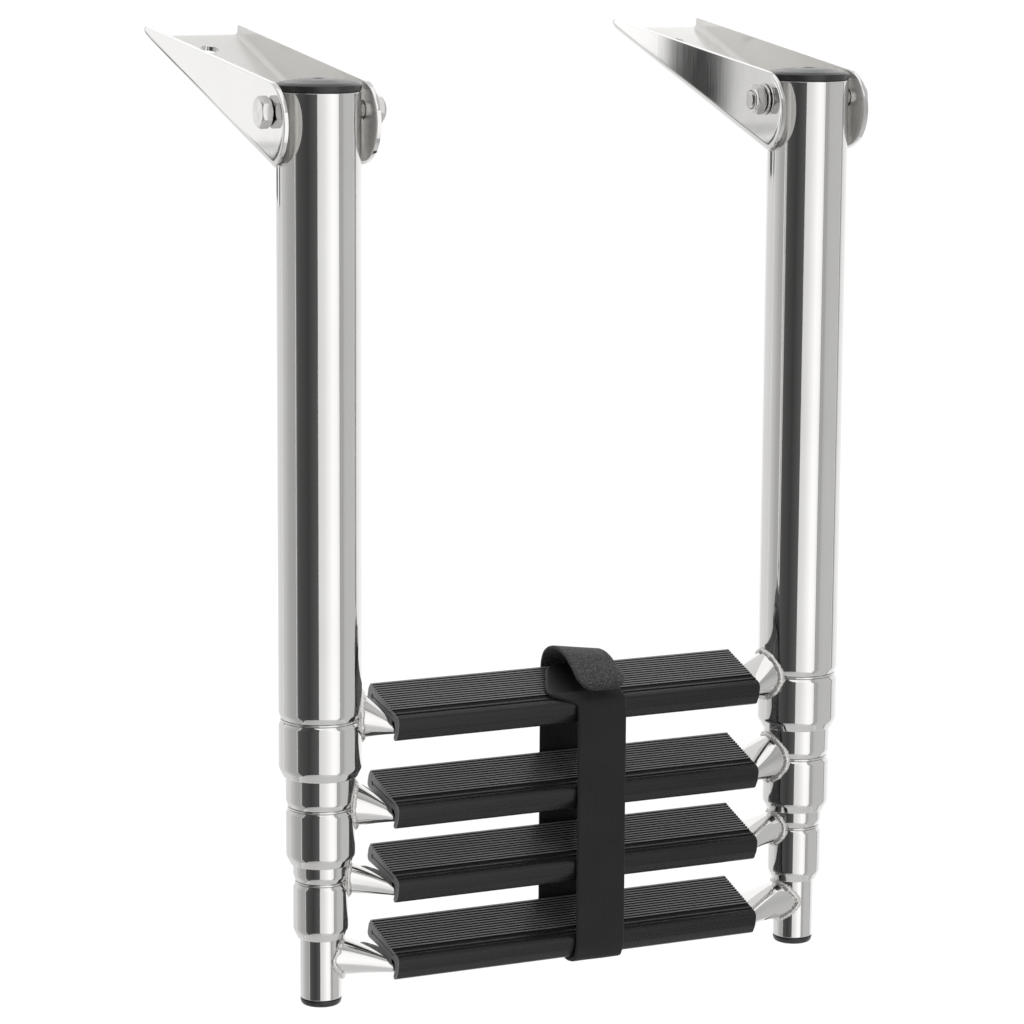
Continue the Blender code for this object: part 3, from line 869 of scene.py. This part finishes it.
def cover_outline():
    """End view of a cover: ribbed top, round back, sloping underside, hooked nose."""
    in_mm = ((17.6, 3, 2), (17.5, -2.3, 1.6), (15.2, -3.02, 0.6), (-13.6, 2.2, 1.2), (-15.1, 0.2, 1),
             (-15.2, -3.6, 0.5), (-14.9, -5.2, 0.7), (-16.6, -6.1, 0.9), (-18.1, -4.6, 1.2),
             (-19, -0.2, 3.5), (-18.2, 5.5, 4.2))
    points = rib_points() + [(16.2 * MM, TREAD_TOP, 2 * MM)]
    points += [(u * MM, v * MM, radius * MM) for u, v, radius in in_mm]
    return rounded(points, 4)


def inset(outline, amount):
    """An outline moved inwards a little, for the broken edge of a cut end."""
    made = []
    for i, point in enumerate(outline):
        before, after = outline[i - 1], outline[(i + 1) % len(outline)]
        along = (after - before).normalized()
        made.append(point + Vector((along.y, -along.x)) * amount)
    return made


PLAIN, RIB_HIGHLIGHT, SUNKEN, SAWN = range(4)        # a cover's four materials, in tread_cover's order: plain, painted highlight on the rib tops, painted shade on the groove floors, and sawn ends


def cover_mark(start, end):
    """Which of a cover's materials one strip of its outline has."""
    u, v = (start + end) / 2
    if v < TREAD_TOP - RIB_DEPTH - 0.05 * MM or u < -14 * MM:
        return PLAIN
    # the groove floors take the darker material, their painted shade
    if v <= TREAD_TOP - 0.12 * MM:
        return SUNKEN
    # the tops of the ribs take the lighter material, their painted highlight
    return PLAIN if u < FIRST_RIB - 0.7 * MM else RIB_HIGHLIGHT


def end_cutters(stage, low_x, high_x):
    """Cutters for the slot and the small round core hole in both cut ends of a cover."""
    depth, above = 5 * MM, 1 * MM
    start, end = Vector((12.6 * MM, 1.2 * MM)), Vector((-12.2 * MM, 4.5 * MM))
    along = (end - start).normalized()
    across = Vector((-along.y, along.x)) * 0.32 * MM
    slot = [start + across, end + across, end - across, start - across]
    bore = circle((12.4 * MM, 1.3 * MM), 1.15 * MM, 24)
    cutters = []
    for x, inwards in ((low_x, 1), (high_x, -1)):
        for outline in (slot, bore):
            rings = [[on_step(stage, x + inwards * d, p.x, p.y) for p in outline] for d in (-above, depth)]
            cutters.append(solid("slot", *lofted(rings), [CUT_END]))
    return cutters


def tread_cover(stage):
    node = f"tread_cover_{stage}"
    low, high = BOXES[node]
    edge = 0.25 * MM
    outline = cover_outline()
    small = inset(outline, edge * 0.6)
    stations = [(low.x, small), (low.x + edge, outline), (low.x + 4 * edge, outline),
                (high.x - 4 * edge, outline), (high.x - edge, outline), (high.x, small)]
    rings = [[on_step(stage, x, p.x, p.y) for p in points] for x, points in stations]
    count = len(outline)
    strip = [cover_mark(point, outline[(i + 1) % count]) for i, point in enumerate(outline)]
    sawn = [SAWN] * count
    marks = sawn + strip * (len(rings) - 3) + sawn + [SAWN, SAWN]
    made = piece(f"ribbed_cover_{stage}", node, *lofted(rings), [COVER, RIB_TOP_HIGHLIGHT, GROOVE, CUT_END],
                 f"stage_{stage}", "tread_black", sharp=24, marks=marks)
    cut_away(made, end_cutters(stage, low.x, high.x))


def core_section(mix, round_radius, count, grow):
    """Points round the welded tube: mix 0 is its flat middle, mix 1 its round end."""
    straight = CORE_HALF_WIDTH - CORE_HALF_THICK
    gather = 2.2        # how closely the points gather at the flat's two round edges
    points = []
    for i in range(count):
        angle = tau * i / count
        y, z = cos(angle), sin(angle)
        shift = straight * tanh(y * gather) / tanh(gather)
        flat = Vector(((CORE_HALF_THICK + grow) * y + shift, (CORE_HALF_THICK + grow) * z))
        tilted = Matrix.Rotation(CORE_TILT, 2) @ flat - Vector((0.5 * MM, CORE_DROP))
        points.append(tilted.lerp(Vector(((round_radius + grow) * y, (round_radius + grow) * z)), mix))
    return points


def end_radius(stage):
    return BOXES[f"tread_core_{stage}"][1].z - joint_height(stage)


def core_rings(stage, side, sign, grow):
    """Rings from the flat middle out to the leg, swelling from flat to round."""
    axis = leg_axis(side)
    round_radius = end_radius(stage)
    seat = tube_radius(stage) + 0.2 * MM
    count, steps = 64, 22
    end_points = core_section(1.0, round_radius, count, grow)
    rings = []
    for k in range(steps + 1):
        t = k / steps
        points = core_section(t * (1.25 - 0.25 * t), round_radius, count, grow)
        ring = []
        for (y, z), (end_y, _) in zip(points, end_points):
            reach = abs(axis.x) - sqrt(max(seat ** 2 - end_y ** 2, 0))
            x = CORE_SWELLS_FROM + (reach - CORE_SWELLS_FROM) * t
            ring.append(Vector((sign * x, axis.y + y, joint_height(stage) + z)))
        rings.append(ring)
    return rings


def weld_path(stage, side, sign):
    """Where a bead runs round its leg, and how thick it is at each point."""
    axis = leg_axis(side)
    radius = tube_radius(stage) + 0.1 * MM
    around = min(end_radius(stage) + 0.2 * MM, radius - 0.15 * MM)
    count, ripples = 216, 30
    path, sizes = [], []
    for i in range(count):
        angle = tau * i / count
        y, z = around * cos(angle), around * sin(angle)
        x = sign * (abs(axis.x) - sqrt(max(radius ** 2 - y ** 2, 0)))
        point = Vector((x, axis.y + y, joint_height(stage) + z))
        path.append(point)
        wobble = noise.noise(Vector((angle * 3, stage * 7.1, sign * 3.7)))
        beat = abs(sin(angle * ripples / 2 + wobble * 0.8))
        lump = noise.noise(point * 420 + Vector((stage, sign, 0)))
        sizes.append((1.35 + 0.1 * beat + 0.3 * wobble + 0.45 * lump) * MM)
    return path, sizes


def weld_bead(stage, side, sign):
    """A rippled bead along the curve where a core meets its leg."""
    axis = leg_axis(side)
    path, sizes = weld_path(stage, side, sign)
    sides = 16
    rings = []
    for i, point in enumerate(path):
        along = (path[(i + 1) % len(path)] - path[i - 1]).normalized()
        outward = Vector((0, point.y - axis.y, point.z - joint_height(stage))).normalized()
        outward = (outward - along * outward.dot(along)).normalized()
        other = along.cross(outward)
        ring = []
        for k in range(sides):
            angle = tau * k / sides
            spoke = outward * cos(angle) + other * sin(angle)
            rough = 1 + 0.15 * noise.noise((point + spoke * sizes[i]) * 1100)
            ring.append(point + spoke * sizes[i] * rough)
        rings.append(ring)
    return lofted(rings, looped=True)


def tread_core(stage):
    """The flattened tube of a step, and the weld beads at its ends."""
    def whole(grow):
        left = core_rings(stage, "left", -1, grow)
        return left[::-1] + core_rings(stage, "right", 1, grow)

    tube = lofted(whole(0) + whole(-CORE_WALL)[::-1], looped=True)
    beads = [weld_bead(stage, side, sign) for side, sign in SIDES]
    verts, faces = joined(tube, *beads)
    steel = len(tube[1])
    marks = [0] * steel + [1] * (len(faces) - steel)
    piece(f"welded_core_{stage}", f"tread_core_{stage}", verts, faces, [STEEL, WELD],
          f"stage_{stage}", "polished_steel", sharp=50, marks=marks)


# --- Strap ---

def strap_path():
    """Centre line of the strap in (y, z) about the first joint, inner end first."""
    lift = 0.3 * MM + STRAP_THICK / 2
    last = joint_height(4) - joint_height(1)
    top = TREAD_TOP + lift
    path = [kicked(13 * MM, top), kicked(-12 * MM, top), kicked(-18.4 * MM, 5.4 * MM + lift)]
    path += [(FRONT_RUN, -2 * MM), (FRONT_RUN, last - 5 * MM), (-17.4 * MM, last - 11.8 * MM)]
    for u, v in ((-14, -9.2), (7, -11.2), (12, -9.4), (17.6, -4.4)):
        y, z = kicked(u * MM, v * MM)
        path.append((y, z + last))
    path += [(BACK_RUN, last + 6 * MM), (BACK_RUN, 8 * MM)]
    path += [(y * MM, z * MM) for y, z in ARCH]
    return [Vector(point) for point in path]


def evenly(points, step):
    """Points at an even spacing along a line."""
    made = [points[0]]
    left = step
    for start, end in zip(points, points[1:]):
        run = end - start
        done = 0.0
        while run.length - done > left:
            done += left
            made.append(start + run.normalized() * done)
            left = step
        left -= run.length - done
    made.append(points[-1])
    return made


def eased(points, rounds):
    """Softens a line's corners, keeping its ends."""
    for _ in range(rounds):
        points = [points[0]] + [(points[i - 1] + points[i] * 2 + points[i + 1]) / 4
                                for i in range(1, len(points) - 1)] + [points[-1]]
    return points


def strap_width(travelled, left):
    """How much narrower the strap is at its round ends, and how much wider near its inner one."""
    nearest = min(left, travelled, STRAP_CORNER)
    narrow = STRAP_CORNER - sqrt(max(STRAP_CORNER ** 2 - (STRAP_CORNER - nearest) ** 2, 0))
    wider = INNER_SPREAD[0] + (INNER_SPREAD[1] - INNER_SPREAD[0]) * smoothstep(travelled / INNER_END)
    wider *= 1 - smoothstep((travelled - INNER_END) / (10 * MM))
    return narrow, wider


def strap_row(point, along, travelled, left):
    """Points round the strap's section at one place: across its upper face, and back below."""
    normal = Vector((-along.y, along.x))
    arched = smoothstep((point.y - 6 * MM) / (10 * MM)) if left < ARCH_LENGTH else 0
    lean = ARCH_LEAN * arched
    start = max(0.0, 1 - travelled / INNER_END)
    narrow, wider = strap_width(travelled, left)
    columns = [-1, -0.985, -0.95] + [-0.9 + 0.1 * k for k in range(19)] + [0.95, 0.985, 1]
    full, thin = 0.93, 0.07     # shares of the half width: full thickness, then thinning out
    row = []
    for face in (1, -1):
        for c in columns[::face]:
            x = c * (STRAP_WIDTH / 2 - narrow)
            edge = sqrt(max(1 - max(0.0, (abs(c) - full) / thin) ** 2, 0.0))
            curl = INNER_CURL * start * ((1 - c) / 2) ** 2
            wave = noise.noise(Vector((x * 90, travelled * 60, 1.5))) * 0.15 * MM
            thick = STRAP_THICK / 2 * (0.35 + 0.65 * edge)
            offset = normal * (thick * face + wave)
            row.append(Vector((middle("strap").x + x - wider * (1 - c) / 2,
                               leg_axis("left").y + point.x + offset.x,
                               joint_height(1) + point.y + offset.y - c * lean + curl)))
    return row


def strap():
    line = eased(evenly(strap_path(), 0.8 * MM), 6)
    length = sum((b - a).length for a, b in zip(line, line[1:]))
    rows, under_arch = [], []
    travelled = 0.0
    for i, point in enumerate(line):
        before, after = line[max(i - 1, 0)], line[min(i + 1, len(line) - 1)]
        travelled += (point - before).length
        rows.append(strap_row(point, (after - before).normalized(), travelled, length - travelled))
        # the inner end under the arch takes the darker material, painted shade for the arch's shadow
        under_arch.append(1 if travelled < INNER_END else 0)
    verts, faces = lofted(rows)
    marks = [mark for mark in under_arch[:-1] for _ in rows[0]]
    marks += [0] * (len(faces) - len(marks))
    made = piece("hook_and_loop_strap", "strap", verts, faces, [WEBBING, INNER_END_SHADE], "stage_1", "webbing",
                 sharp=60, marks=marks)


# --- Studio ---

def view_axes():
    """The camera's backward, right and up directions."""
    back = Vector((sin(AZIMUTH) * cos(ELEVATION), -cos(AZIMUTH) * cos(ELEVATION),
                   sin(ELEVATION)))
    right = Vector((cos(AZIMUTH), sin(AZIMUTH), 0))
    up = back.cross(right)
    return back, right * cos(ROLL) + up * sin(ROLL), up * cos(ROLL) - right * sin(ROLL)


def camera():
    back, right, up = view_axes()
    data = bpy.data.cameras.new("camera")
    data.lens = LENS
    data.sensor_width = 36
    data.clip_start = 0.1
    data.clip_end = 200
    made = placed("camera", data)
    made.location = first_joint() + AIM + back * DISTANCE
    made.rotation_mode = "QUATERNION"
    made.rotation_quaternion = Matrix((right, up, back)).transposed().to_quaternion()
    bpy.context.scene.camera = made


def floor():
    mesh = bpy.data.meshes.new("floor")
    corners = [(x * FLOOR_HALF, y * FLOOR_HALF, FLOOR_Z) for x, y in ((-1, -1), (1, -1), (1, 1), (-1, 1))]
    mesh.from_pydata(corners, [], [(0, 1, 2, 3)])
    shade = Shade("floor", (0.9, 0.9, 0.9), 0.0, 0.9)
    shade.tint(shade.noise(3, 3), (0.90, 0.90, 0.90), (0.92, 0.92, 0.92))
    mesh.materials.append(shade.material)
    placed("floor", mesh)


def panel_material():
    """A panel that glows as brightly as its own tone attribute says."""
    made = bpy.data.materials.new("studio_panel")
    made.use_nodes = True
    tree = made.node_tree
    tree.nodes.clear()
    tone = tree.nodes.new("ShaderNodeAttribute")
    tone.attribute_name = "tone"
    glow = tree.nodes.new("ShaderNodeEmission")
    out = tree.nodes.new("ShaderNodeOutputMaterial")
    tree.links.new(tone.outputs["Fac"], glow.inputs["Strength"])
    tree.links.new(glow.outputs["Emission"], out.inputs["Surface"])
    return made


def glowing(name, material, verts, faces, tones):
    """A part of the studio that only reflections show, with a tone for each point."""
    mesh = bpy.data.meshes.new(name)
    mesh.from_pydata([tuple(v) for v in verts], [], faces)
    mesh.attributes.new("tone", "FLOAT", "POINT").data.foreach_set("value", tones)
    mesh.materials.append(material)
    made = placed(name, mesh)
    made.visible_camera = False


def panel(name, material, stations, low=PANEL_LOW, high=PANEL_HIGH):
    """An upright studio panel round the ladder.

    Stations are (degrees right of the lens as seen from the ladder, tone). The
    panel stands on the circle through the lens, so both legs mirror its ends at
    the same place.
    """
    centre = first_joint()
    dense = []
    for (a, tone_a), (b, tone_b) in zip(stations, stations[1:]):
        steps = max(1, round(abs(b - a) / PANEL_STEP))
        dense += [(a + (b - a) * k / steps, tone_a + (tone_b - tone_a) * k / steps) for k in range(steps)]
    dense.append(stations[-1])
    verts, tones = [], []
    for degrees, tone in dense:
        turn = radians(degrees)
        away = DISTANCE * max(cos(turn), PANEL_NEAREST)
        angle = AZIMUTH + turn
        x, y = centre.x + away * sin(angle), centre.y - away * cos(angle)
        verts += [(x, y, low), (x, y, high)]
        tones += [tone, tone]
    faces = [(2 * i, 2 * i + 2, 2 * i + 3, 2 * i + 1) for i in range(len(dense) - 1)]
    glowing(name, material, verts, faces, tones)


def card(name, material, centre, away, tone_at):
    """An upright glowing card facing back along a direction, turned level.

    tone_at gives its tone at (across, up) from its centre.
    """
    level = Vector((away.x, away.y, 0)).normalized()
    across = Vector((level.y, -level.x, 0))
    count = 72
    wide, high = CARD_SIZE
    verts, tones, faces = [], [], []
    for j in range(count + 1):
        for i in range(count + 1):
            s, t = (i / count - 0.5) * wide, (j / count - 0.5) * high
            verts.append(centre + across * s + Vector((0, 0, t)))
            tones.append(tone_at(s, t))
    for j in range(count):
        for i in range(count):
            corner = j * (count + 1) + i
            faces.append((corner, corner + 1, corner + count + 2, corner + count + 1))
    glowing(name, material, verts, faces, tones)


def mirrored_in_ear(point):
    """Which way the lens sees when it looks at an ear's outer face at a point."""
    lean = TIP_SPREAD / BRACKET_REACH
    outward = Vector((-1, -lean * cos(KICK), -lean * sin(KICK))).normalized()
    lens = first_joint() + AIM + view_axes()[0] * DISTANCE
    return (point - lens).normalized().reflect(outward)


def ear_foot(t, step, arc, tone):
    """A card's tone with what lies low behind an ear: dark, a bright arc and a grey step."""
    if t < arc - 3 * MM:
        return 0.15
    if t < step:
        return 0.58 + 0.6 * exp(-((t - arc) / (2 * MM)) ** 2)
    return tone


def arc_height(s, lowest, middle_s, bend):
    """How high the bright arc runs at s; it never rises far."""
    return lowest + min(bend * (s - middle_s) ** 2, 8 * MM)


def left_ear_tone(s, t):
    """Bright, above the grey step on one half."""
    bright = 1.1
    return ear_foot(t, -31.4 * MM, arc_height(s, -38.6 * MM, -25 * MM, 52), bright) if s < 0 else bright


def right_ear_tone(s, t):
    """Light, with a dark blob in the middle and a dark tail down from it."""
    blob = exp(-((s + 2.5 * MM) / (20 * MM)) ** 6 - ((t + 6 * MM) / (34 * MM)) ** 6)
    tail = smoothstep((0.7 * s - 15 * MM - t) / (4 * MM)) * smoothstep((46 * MM - s) / (10 * MM))
    dark = max(blob, 0.85 * tail if s > 10 * MM else 0.0)
    light = 0.8 + 0.45 * smoothstep((s - 8 * MM) / (12 * MM))
    tone = light - (light - 0.045) * dark
    return ear_foot(t, -38 * MM, arc_height(s, -48 * MM, -43 * MM, 23), tone)


def ear_card(glow, side, y, z, tone_at):
    """What an outboard-facing ear mirrors at (y, z) on the side towards the lens."""
    ear = Vector((leg_axis(side).x - EAR_HALF, y, z))
    away = mirrored_in_ear(ear)
    card(f"card_{side}", glow, ear + away * CARD_AWAY, away, tone_at)


def studio():
    glow = panel_material()
    ear_card(glow, "left", -50 * MM, 0, left_ear_tone)
    ear_card(glow, "right", -31 * MM, 6 * MM, right_ear_tone)
    panel("panel_back_high", glow, [(158, 0.8), (180, 0.78), (202, 0.8)], 0.5, 1.9)
    for name, *stations in (
            ("far_left", (-158, 0.85), (-128, 0.8), (-112, 0.76)),
            ("left", (-111, 0.74), (-84, 0.48), (-64, 0.42)),
            ("dark", (-63, 0.3), (-59, 0.10), (-50, 0.08), (-30, 0.055), (-10, 0.1), (-4, 0.12)),
            ("bright", (-3.8, 0.82), (12, 0.92), (34, 1.25), (46, 1.2), (51, 1.0)),
            ("right", (53, 0.36), (58, 0.5), (61, 0.42), (70, 0.58), (84, 0.6), (100, 0.6), (110, 0.6)),
            ("far_right", (111, 0.4), (116, 0.4), (119, 0.9), (158, 1.1))):
        panel(f"panel_{name}", glow, stations)
    world = bpy.data.worlds.new("studio")
    bpy.context.scene.world = world
    world.use_nodes = True
    background = world.node_tree.nodes["Background"]
    background.inputs["Color"].default_value = (1, 1, 1, 1)
    background.inputs["Strength"].default_value = 1.15
    bpy.context.scene.view_settings.view_transform = "Standard"


# --- Everything ---

camera()
floor()
studio()
for side, sign in SIDES:
    bracket(side)
    hex_bolt(side, sign)
    flat_washer(side, sign)
    lock_nut(side, sign)
    top_cap(side)
    foot_cap(side)
    for stage in STAGES:
        leg_tube(stage, side)
    for stage in STAGES[:-1]:
        collar(stage, side)
for stage in STAGES:
    tread_core(stage)
    tread_cover(stage)
strap()
for name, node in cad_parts.items():
    if name.startswith(("guide", "glide")):
        node.data.materials.clear()
        node.data.materials.append(NYLON)
